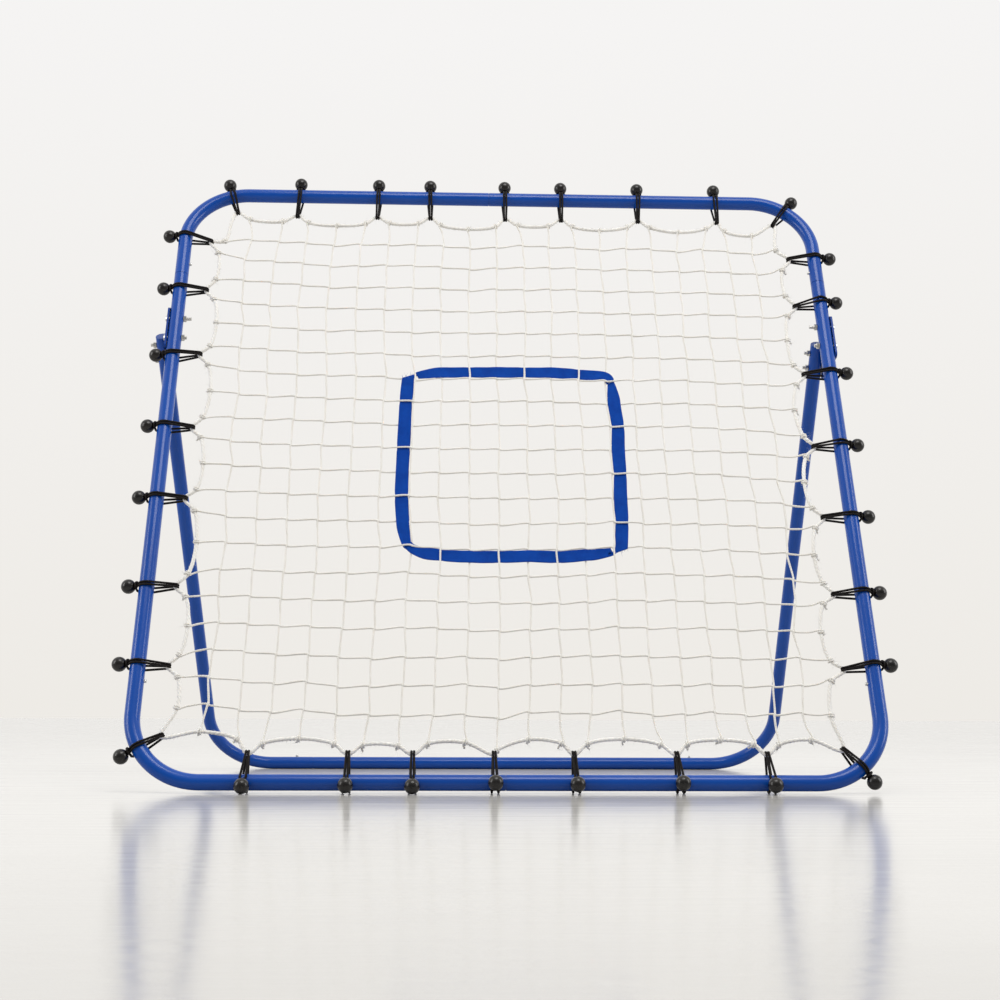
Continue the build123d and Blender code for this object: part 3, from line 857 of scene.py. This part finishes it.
def rope_fuzz():
    """Loose hairs along the rope and frayed tufts where the net cords are tied to it."""
    skin = Skin()
    travel = directions(rope_run, closed=True)
    picks = chance.integers(0, len(rope_run), FUZZ_COUNT)
    spread = unit(chance.standard_normal((FUZZ_COUNT, 3)))
    leans = chance.choice([-FUZZ_LEAN, FUZZ_LEAN], (FUZZ_COUNT, 1))
    headings = unit(spread + travel[picks] * leans)
    roots = rope_run[picks] + spread * ROPE_RADIUS * FUZZ_ROOT
    lengths = chance.uniform(*FUZZ_LENGTHS, FUZZ_COUNT)
    fibres(skin, roots, headings, lengths, FUZZ_RADIUS, curl=0.5)
    for root in tuft_roots:
        hairs = chance.integers(TUFT_HAIRS // 3, TUFT_HAIRS + 1)
        headings = unit(chance.standard_normal((hairs, 3)) + (0, 0, TUFT_RISE))
        lengths = chance.uniform(*TUFT_LENGTHS, hairs)
        fibres(skin, [root] * hairs, headings, lengths, TUFT_RADIUS, curl=0.6)
    piece = skin.build("rope_fibres", rope_yarn)
    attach(piece, "front_frame")


rope_fuzz()

# ---- Target bands ----
BAND_COLUMNS = 12
BAND_SPACING = 0.002
BAND_SET_BACK = 0.4
BAND_RISE = 1.5
BAND_PINCH = 0.0006
BAND_TAPER = 0.046
BAND_THIN_EDGE = 0.55
BAND_CUP = 0.0007
END_HAIRS = 12
END_HAIR_LENGTHS = (0.002, 0.006)
END_HAIR_RADIUS = 0.00022
END_HAIR_SPREAD = 0.35

# Slow waves along a band: height, or share of its width, and radians for each metre
BAND_RIPPLE = (0.00015, 80)
BAND_PUCKER = (0.00021, 33)
BAND_WAVE = (0.0002, 70)
BAND_WAVE_LEAN = 2.2
BAND_WIDTH_DRIFT = (0.02, 55)

# Flat reach and fade of what a band does where a net cord crosses it
RISE_WINDOW = (0.002, 0.018)
PINCH_WINDOW = (0.001, 0.010)
TAPER_FLAT = 0.001


def band_path(places, outward, start_in, end_in):
    """Centre line of a band: outside a net line, drawn in at its two ends."""
    shares = np.linspace(-1, 1, len(places))
    pull = np.where(shares < 0, start_in, end_in) * np.abs(shares) ** 5
    offset = BAND_OFFSET - (BAND_OFFSET - BAND_CORNER_OFFSET) * np.abs(shares) ** 3 - pull
    return places + outward * offset[:, None]


def tapered(along, insets):
    """How far a band edge is drawn in along its run, from its insets at the two ends."""
    start = insets[0] * window(along, TAPER_FLAT, BAND_TAPER)
    return start + insets[1] * window(along - along[-1], TAPER_FLAT, BAND_TAPER)


def slanted(cut, shares):
    """How far an end is cut back at places across the band, -1 on its low side to 1."""
    return abs(cut) * (1 + np.sign(cut) * shares) / 2


def crossed(line, dense, along, lifted):
    """How far a band rises over the net cords behind it, and narrows under those in front."""
    rise = np.full(len(dense), -BAND_LIFT * BAND_SET_BACK)
    narrow = np.zeros(len(dense))
    for number, spot in enumerate(line[1:-1]):
        crossing = along[np.argmin(np.linalg.norm(dense[:, :2] - spot, axis=1))]
        if number in lifted:
            rise += window(along - crossing, *RISE_WINDOW) * BAND_LIFT * BAND_RISE
        else:
            narrow += window(along - crossing, *PINCH_WINDOW) * BAND_PINCH
    return rise, narrow


def band_section(along, middle, width, cuts):
    """Sideways, forward and lengthwise offsets round a band at each point along it."""
    shares = np.linspace(-1, 1, BAND_COLUMNS)
    thick = BAND_THICKNESS / 2 * (1 - BAND_THIN_EDGE * shares**6)
    cup = BAND_CUP * (shares**2 - 0.4)
    ring_x = np.concatenate([shares, shares[::-1]])
    ring_y = np.concatenate([cup + thick, (cup - thick)[::-1]])
    height, pace = BAND_WAVE
    wave = np.sin(along[:, None] * pace + BAND_WAVE_LEAN * ring_x[None, :]) * height
    side = middle[:, None] + width[:, None] * ring_x[None, :]
    start_cut = slanted(cuts[0], ring_x)[None, :]
    end_cut = slanted(cuts[1], ring_x)[None, :]
    moved = np.clip(along[:, None], start_cut, along[-1] - end_cut)
    section = np.stack([side, ring_y[None, :] + wave, moved - along[:, None]], axis=-1)
    return section[:, ::-1]


def band(name, node, places, outward, lifted, ends, pulls, insets, cuts):
    """One woven band in front of the lifted net lines, with its ends pulled, drawn in and cut."""
    places = np.array(places)
    first = places[0] - unit(places[1] - places[0]) * ends[0]
    last = places[-1] + unit(places[-1] - places[-2]) * ends[1]
    line = band_path(np.vstack([first, places, last]), np.array(outward), *pulls)
    dense = evenly(smooth(np.column_stack([line, np.zeros(len(line))])), BAND_SPACING)
    along = np.arange(len(dense)) * BAND_SPACING
    rise, narrow = crossed(line, dense, along, lifted)
    ripple = BAND_RIPPLE[0] * np.sin(along * BAND_RIPPLE[1] + len(name))
    pucker = BAND_PUCKER[0] * np.sin(along * BAND_PUCKER[1])
    forward = sagged(dense[:, 0], dense[:, 1]) + rise + ripple + pucker
    points = frame_points(np.column_stack([dense[:, :2], forward]))
    travel = directions(points)
    front = np.repeat(FRAME_FORWARD[None, :], len(points), axis=0)
    across = unit(np.cross(front, travel))
    drift = 1 + BAND_WIDTH_DRIFT[0] * np.sin(along * BAND_WIDTH_DRIFT[1])
    half = BAND_WIDTH / 2 * drift - narrow
    high_edge = half - tapered(along, insets[0])
    low_edge = half - tapered(along, insets[1])
    middle = (high_edge - low_edge) / 2
    width = (high_edge + low_edge) / 2
    skin = Skin()
    skin.add(points, across, front, band_section(along, middle, width, cuts))
    for spot, heading, cut in ((0, -1, cuts[0]), (-1, 1, cuts[1])):
        spread = chance.uniform(-1, 1, END_HAIRS)
        roots = points[spot] + across[spot] * (middle[spot] + spread * width[spot])[:, None]
        roots = roots - travel[spot] * (heading * slanted(cut, spread))[:, None]
        strays = chance.normal(0, END_HAIR_SPREAD, (END_HAIRS, 3))
        lengths = chance.uniform(*END_HAIR_LENGTHS, END_HAIRS)
        fibres(skin, roots, unit(travel[spot] * heading + strays), lengths, END_HAIR_RADIUS, curl=0.4)
    piece = skin.build(name, webbing)
    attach(piece, "front_frame")
    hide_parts(node)


def line_places(line, upright):
    """Net nodes along one side of the target."""
    steps = range(TARGET_FIRST, TARGET_LAST + 1)
    return [place_of(line, step) if upright else place_of(step, line) for step in steps]


# Each band's places run left to right or top to bottom, and give its two ends in that order.
# Its high side is its upper or right edge. A cut slants an end back on the high side, or on the
# low side where it is negative.
band(
    "top_target_webbing", "top_target_band", line_places(TARGET_FIRST, False),
    outward=(0, 1), lifted=(1, 3, 5, 7), ends=(-0.002, 0.006), pulls=(0.002, 0.014),
    insets=((0.008, 0.0), (0.0, 0.007)), cuts=(0.0, 0.006),
)
band(
    "bottom_target_webbing", "bottom_target_band", line_places(TARGET_LAST, False),
    outward=(0, -1), lifted=(0, 2, 4, 6), ends=(0.012, -0.002), pulls=(0.010, 0.002),
    insets=((0.0, 0.0), (0.008, 0.008)), cuts=(-0.008, 0.0),
)
band(
    "left_target_webbing", "left_target_band", line_places(TARGET_FIRST, True),
    outward=(-1, 0), lifted=(0, 2, 4, 6), ends=(0.015, 0.003), pulls=(0.000, 0.002),
    insets=((0.0, 0.0), (0.0, 0.007)), cuts=(-0.015, 0.0),
)
band(
    "right_target_webbing", "right_target_band", line_places(TARGET_LAST, True),
    outward=(1, 0), lifted=(1, 3, 5, 7), ends=(-0.001, 0.015), pulls=(0.002, 0.000),
    insets=((0.008, 0.0), (0.002, 0.0)), cuts=(0.0, 0.015),
)

# ---- Elastic cords ----
CORD_SIDES = 14
CORD_SPACING = 0.0009
STRAND_OFFSET = 0.0020
NECK_SPREAD = 0.0040
BACK_SPREAD = 0.0022
BRAID_DEPTH = 0.035
WRAP_STEP = 30
HOOK_STEPS = 6
LINE_SHARES = (0.12, 0.5, 0.88)

# Round the ball's neck: distance from the tube's axis and degrees past the ball's own angle,
# and for the loop behind the neck the offset along the tube as well
NECK_FRONT = ((0.024, 0.0), (0.020, 0.0), (0.0169, 4.5), (0.0153, 15))
NECK_BACK = ((0.0150, 0.0, 0.0066), (0.0160, 13, 0.0062), (0.0182, 22.5, 0.0036))
NECK_TIP = (0.0192, 25.5)
NECK_START = (0.0154, -13)
FRONT_WRAP_START = 28
FRONT_WRAP_LEAST = 30

# How far the two front strands of each cord stand apart on the tube, beyond touching
FRONT_SPREADS = {
    "top": (0.0002, 0.0004, 0.0001, 0.0003, 0.0002, 0.0006, 0.0012),
    "bottom": (0.0026, 0.0004, 0.0003, 0.0010, 0.0003, 0.0018, 0.0022),
    "left": (0.0002, 0.0003, 0.0002, 0.0004, 0.0002, 0.0005, 0.0003),
    "right": (0.0003, 0.0026, 0.0004, 0.0018, 0.0003, 0.0008, 0.0002),
    "corner": (0.0020, 0.0006, 0.0003, 0.0005),
}


def polar(radius, angle, offset=0.0):
    """A point round a tube's axis, with an offset along the tube."""
    return np.array([radius * cos(radians(angle)), radius * sin(radians(angle)), offset])


def arc_angles(start, end):
    """Evenly spaced angles from start to end, no further apart than one wrap step."""
    count = max(1, ceil(abs(end - start) / WRAP_STEP))
    return np.linspace(start, end, count + 1)


def along_line(start, end):
    """Points on the straight stretch between two places."""
    return [start + (end - start) * share for share in LINE_SHARES]


def cord_route(ball_angle, hook_distance, hook_radius, slack, shift):
    """Points of one elastic cord in its tube's cross-section: outward, forward and along."""
    hook = np.array([-hook_distance, 0.0, shift])
    lean = degrees(asin((WRAP_RADIUS - hook_radius) / hook_distance))
    back_angle = -(90 + lean)
    front_angle = max(90 + lean, ball_angle + FRONT_WRAP_LEAST)
    neck_start = ball_angle + NECK_START[1]
    front = [polar(radius, ball_angle + past, STRAND_OFFSET) for radius, past in NECK_FRONT]
    wraps = arc_angles(ball_angle + FRONT_WRAP_START, front_angle)
    front += [
        polar(WRAP_RADIUS, angle, STRAND_OFFSET + slack * share)
        for angle, share in zip(wraps, np.linspace(0, 1, len(wraps)))
    ]
    leave = front[-1]
    reach = hypot(leave[0] - hook[0], leave[1])
    front_turn = degrees(atan2(leave[1], leave[0] - hook[0]) + acos(hook_radius / reach))
    turn = [
        hook + polar(hook_radius, angle, STRAND_OFFSET)
        for angle in np.linspace(front_turn, 360 + back_angle, HOOK_STEPS)
    ]
    back_angles = arc_angles(back_angle, neck_start)
    spread = STRAND_OFFSET + np.linspace(BACK_SPREAD, NECK_SPREAD, len(back_angles))
    back = [polar(WRAP_RADIUS, angle, offset) for angle, offset in zip(back_angles[:-1], spread)]
    back_line = along_line(turn[-1], back[0])
    back.append(polar(NECK_START[0], neck_start, spread[-1]))
    back += [polar(radius, ball_angle + past, offset) for radius, past, offset in NECK_BACK]
    route = np.array(front + along_line(leave, turn[0]) + turn + back_line + back)
    return route, polar(NECK_TIP[0], ball_angle + NECK_TIP[1])


def elastic_cord(skin, origin, outward, ball_angle, hook, shift, slack):
    """One elastic cord: two strands from the ball, round the rope and over the ball's neck."""
    along_tube = np.cross(outward, FRAME_FORWARD)
    signed = shift * (1 if along_tube @ (FRAME_X + FRAME_UP) > 0 else -1)
    near, neck = cord_route(ball_angle, *hook, slack, signed)
    far, _ = cord_route(ball_angle, *hook, slack, -signed)
    far = far * (1, 1, -1)
    route = np.vstack([near, neck[None, :], far[::-1]])
    world = origin + route[:, :1] * outward + route[:, 1:2] * FRAME_FORWARD
    world = world + route[:, 2:3] * along_tube
    points = evenly(smooth(world, steps=8), CORD_SPACING)
    along = np.arange(len(points)) * CORD_SPACING
    turn = np.linspace(0, 2 * pi, CORD_SIDES, endpoint=False)
    winding = 2 * pi * BRAID_PER_METRE * along[:, None]
    one_way = np.cos(BRAID_STRANDS * turn[None, :] + winding)
    other_way = np.cos(BRAID_STRANDS * turn[None, :] - winding)
    skin.tube(points, CORD_RADIUS * (1 + BRAID_DEPTH * one_way * other_way))


def tube_origin(x, height):
    """Point on a tube's axis."""
    return frame_points([(x, height, 0)])[0]


def bend_cord(side_x, height, angle):
    """Origin and outward direction of a cord on a corner bend."""
    direction = np.array([cos(radians(angle)), sin(radians(angle))])
    spot = np.array([side_x, height]) + BEND_RADIUS * direction
    return tube_origin(*spot), direction[0] * FRAME_X + direction[1] * FRAME_UP


level_angles = (0,) * len(TOP_PLACES)
no_shifts = (0.0,) * len(TOP_PLACES)
side_hook = (SIDE_HOOK_DISTANCE, SIDE_HOOK_RADIUS)
corner_hook = (CORNER_HOOK_DISTANCE, CORNER_HOOK_RADIUS)
cord_sets = {
    "top": ([(tube_origin(x, FRAME_HEIGHT), FRAME_UP) for x in TOP_PLACES],
            level_angles, side_hook, TOP_SHIFTS),
    "bottom": ([(tube_origin(x, 0), -FRAME_UP) for x in BOTTOM_PLACES],
               BOTTOM_BALL_ANGLES, side_hook, BOTTOM_SHIFTS),
    "left": ([(tube_origin(-HALF_WIDTH, place), -FRAME_X) for place in LEFT_PLACES],
             level_angles, side_hook, LEFT_SHIFTS),
    "right": ([(tube_origin(HALF_WIDTH, place), FRAME_X) for place in RIGHT_PLACES],
              level_angles, side_hook, RIGHT_SHIFTS),
    "corner": ([bend_cord(*bend) for bend in BENDS], level_angles, corner_hook, no_shifts),
}
for side, (places, ball_angles, hook, shifts) in cord_sets.items():
    cords = Skin()
    for (origin, outward), ball_angle, shift, slack in zip(
        places, ball_angles, shifts, FRONT_SPREADS[side]
    ):
        elastic_cord(cords, origin, outward, ball_angle, hook, shift, slack)
    loops = cords.build(f"{side}_elastic_loops", cord_braid)
    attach(loops, "front_frame")
    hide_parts(f"{side}_bungee_cords")


# ---- Studio ----
FLOOR_HALF = 14.0
FLOOR_TINT = ((0.62, 0.61, 0.59), (0.66, 0.65, 0.63))
FLOOR_ROUGHNESS = (0.08, 0.24)
LIGHT_TINT = (1.0, 0.985, 0.965)
SUBJECT = (0, 0.3, 0.5)

# Surroundings: the backdrop's colour low down and higher up, then the light from behind the net,
# from in front of it, and how much more comes from above than from below
BACKDROP_TINT = ((0.855, 0.831, 0.79), (0.915, 0.905, 0.897))
LIGHT_BEHIND = (1.0, 0.985, 0.96)
LIGHT_AHEAD = (0.28, 0.28, 0.28)
LIGHT_FROM_ABOVE = 0.35

LENS = 58.30
SENSOR_WIDTH = 36
CLIP_END = 60
CAMERA_PLACE = (-0.11937, -2.51772, 0.13270)
CAMERA_YAW = -0.0402
CAMERA_PITCH = 0.1268
CAMERA_ROLL = -0.0036


def studio_floor():
    """A wide pale floor with a faintly uneven gloss."""
    corners = [(FLOOR_HALF * x, FLOOR_HALF * y, 0) for x, y in ((-1, -1), (1, -1), (1, 1), (-1, 1))]
    mesh = bpy.data.meshes.new("studio_floor")
    mesh.from_pydata(corners, [], [(0, 1, 2, 3)])
    floor = bpy.data.objects.new("studio_floor", mesh)
    put_in_scene(floor)
    material, shader, place = new_material("floor_gloss")
    tint = ramp(noise(place, scale=1.5, detail=4), *FLOOR_TINT)
    link(tint, shader.inputs["Base Color"])
    streaks = noise(stretched(place, (3, 40, 1)), scale=1.0, detail=5, rough=0.6)
    link(rescaled(streaks, *FLOOR_ROUGHNESS), shader.inputs["Roughness"])
    shader.inputs["Specular IOR Level"].default_value = 0.35
    swell = noise(stretched(place, (14, 40, 1)), scale=1.0)
    bumped(shader, swell, strength=0.14, distance=0.002)
    mesh.materials.append(material)
    return floor


def soft_light(name, place, size, power, spared=None):
    """A rectangular softbox facing the net, whose light falls on all but the spared object."""
    lamp = bpy.data.lights.new(name, "AREA")
    lamp.shape = "RECTANGLE"
    lamp.size, lamp.size_y = size
    lamp.energy = power
    lamp.color = LIGHT_TINT
    box = bpy.data.objects.new(name, lamp)
    box.location = place
    box.rotation_euler = (Vector(SUBJECT) - Vector(place)).to_track_quat("-Z", "Y").to_euler()
    put_in_scene(box)
    if spared:
        receivers = bpy.data.collections.new(f"{name}_receivers")
        receivers.objects.link(spared)
        receivers.collection_objects[0].light_linking.link_state = "EXCLUDE"
        box.light_linking.receiver_collection = receivers


def studio_world():
    """Pale surroundings: a backdrop to be seen, and light that falls off from behind to ahead."""
    world = bpy.data.worlds.new("studio")
    world.use_nodes = True
    tree = world.node_tree
    lighting = tree.nodes["Background"]
    split = tree.nodes.new("ShaderNodeSeparateXYZ")
    heading = tree.nodes.new("ShaderNodeTexCoord").outputs["Generated"]
    link(heading, split.inputs["Vector"])
    depth = sums("ADD", sums("MULTIPLY", split.outputs["Y"], 0.5), 0.5)
    height = sums("MULTIPLY", split.outputs["Z"], LIGHT_FROM_ABOVE)
    bright = sums("ADD", depth, height)
    glow = ramp(bright, LIGHT_AHEAD, LIGHT_BEHIND, low_at=0.2, high_at=0.8)
    link(glow, lighting.inputs["Color"])
    backdrop = tree.nodes.new("ShaderNodeBackground")
    fade = ramp(split.outputs["Z"], *BACKDROP_TINT, low_at=0.0, high_at=0.4)
    link(fade, backdrop.inputs["Color"])
    direct = tree.nodes.new("ShaderNodeLightPath").outputs["Is Camera Ray"]
    either = tree.nodes.new("ShaderNodeMixShader")
    link(direct, either.inputs["Fac"])
    link(lighting.outputs["Background"], either.inputs[1])
    link(backdrop.outputs["Background"], either.inputs[2])
    link(either.outputs["Shader"], tree.nodes["World Output"].inputs["Surface"])
    bpy.context.scene.world = world


def front_camera():
    """The camera: low, in front of the net and a little to its left."""
    data = bpy.data.cameras.new("photo_camera")
    data.lens = LENS
    data.sensor_width = SENSOR_WIDTH
    data.clip_end = CLIP_END
    camera = bpy.data.objects.new("photo_camera", data)
    turn = Matrix.Rotation(CAMERA_YAW, 3, "Z") @ Matrix.Rotation(CAMERA_PITCH, 3, "X")
    turn = turn @ Matrix.Rotation(CAMERA_ROLL, 3, "Y") @ Matrix.Rotation(pi / 2, 3, "X")
    camera.matrix_world = Matrix.Translation(CAMERA_PLACE) @ turn.to_4x4()
    put_in_scene(camera)
    bpy.context.scene.camera = camera


# The side softboxes spare the floor, which would mirror them in side views
floor = studio_floor()
studio_world()
soft_light("overhead_softbox", (0.3, -1.2, 3.4), size=(1.8, 1.4), power=46)
soft_light("left_softbox", (-3.4, -0.7, 1.6), size=(1.1, 2.2), power=36, spared=floor)
soft_light("right_softbox", (3.4, -0.5, 1.6), size=(1.1, 2.2), power=36, spared=floor)
front_camera()
bpy.context.scene.view_settings.view_transform = "Standard"
